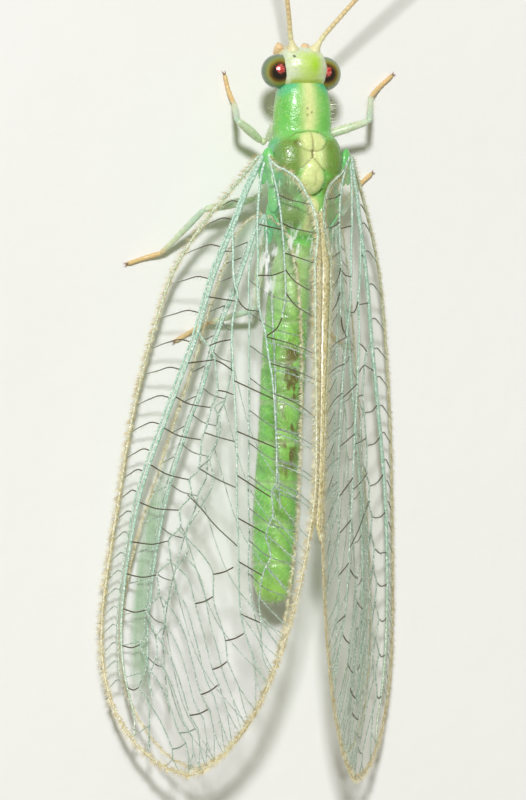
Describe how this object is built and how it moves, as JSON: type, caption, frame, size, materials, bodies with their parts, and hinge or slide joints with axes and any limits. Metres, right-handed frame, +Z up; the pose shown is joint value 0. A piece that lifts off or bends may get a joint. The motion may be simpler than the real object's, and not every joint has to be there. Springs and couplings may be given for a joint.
{
  "type": "green lacewing",
  "caption": "Green lacewing at rest on its six feet, slender green body, long feelers held forward, veined clear wings folded over it like a roof.",
  "frame": {"origin": "on the floor, below the middle of the whole box", "axes": "+Y towards the head, +X to the insect's right, +Z up"},
  "size_m": [0.0124, 0.0242, 0.0043],
  "materials": {
    "head_skin": "glossy yellow-green cuticle, paler cream brow",
    "body_skin": "satin bright green cuticle with a cream stripe down the back",
    "eye": "very glossy golden-brown compound eye with a red glint",
    "antenna": "satin cream, finely ringed",
    "leg": "satin pale green, teal at the knees, tan feet",
    "wing": "clear iridescent membrane on green and brown veins with fine hairs"
  },
  "bodies": {
    "root": {"head": "head_skin", "eye_left": "eye", "eye_right": "eye", "prothorax": "body_skin", "mesothorax": "body_skin", "metathorax": "body_skin", "abdomen_front": "body_skin", "abdomen_middle": "body_skin", "abdomen_tip": "body_skin", "antenna_left": "antenna", "antenna_right": "antenna", "forewing_left": "wing", "forewing_right": "wing", "hindwing_left": "wing", "hindwing_right": "wing", "leg_front_left": "leg", "leg_front_right": "leg", "leg_middle_left": "leg", "leg_middle_right": "leg", "leg_hind_left": "leg", "leg_hind_right": "leg"}
  },
  "joints": []
}
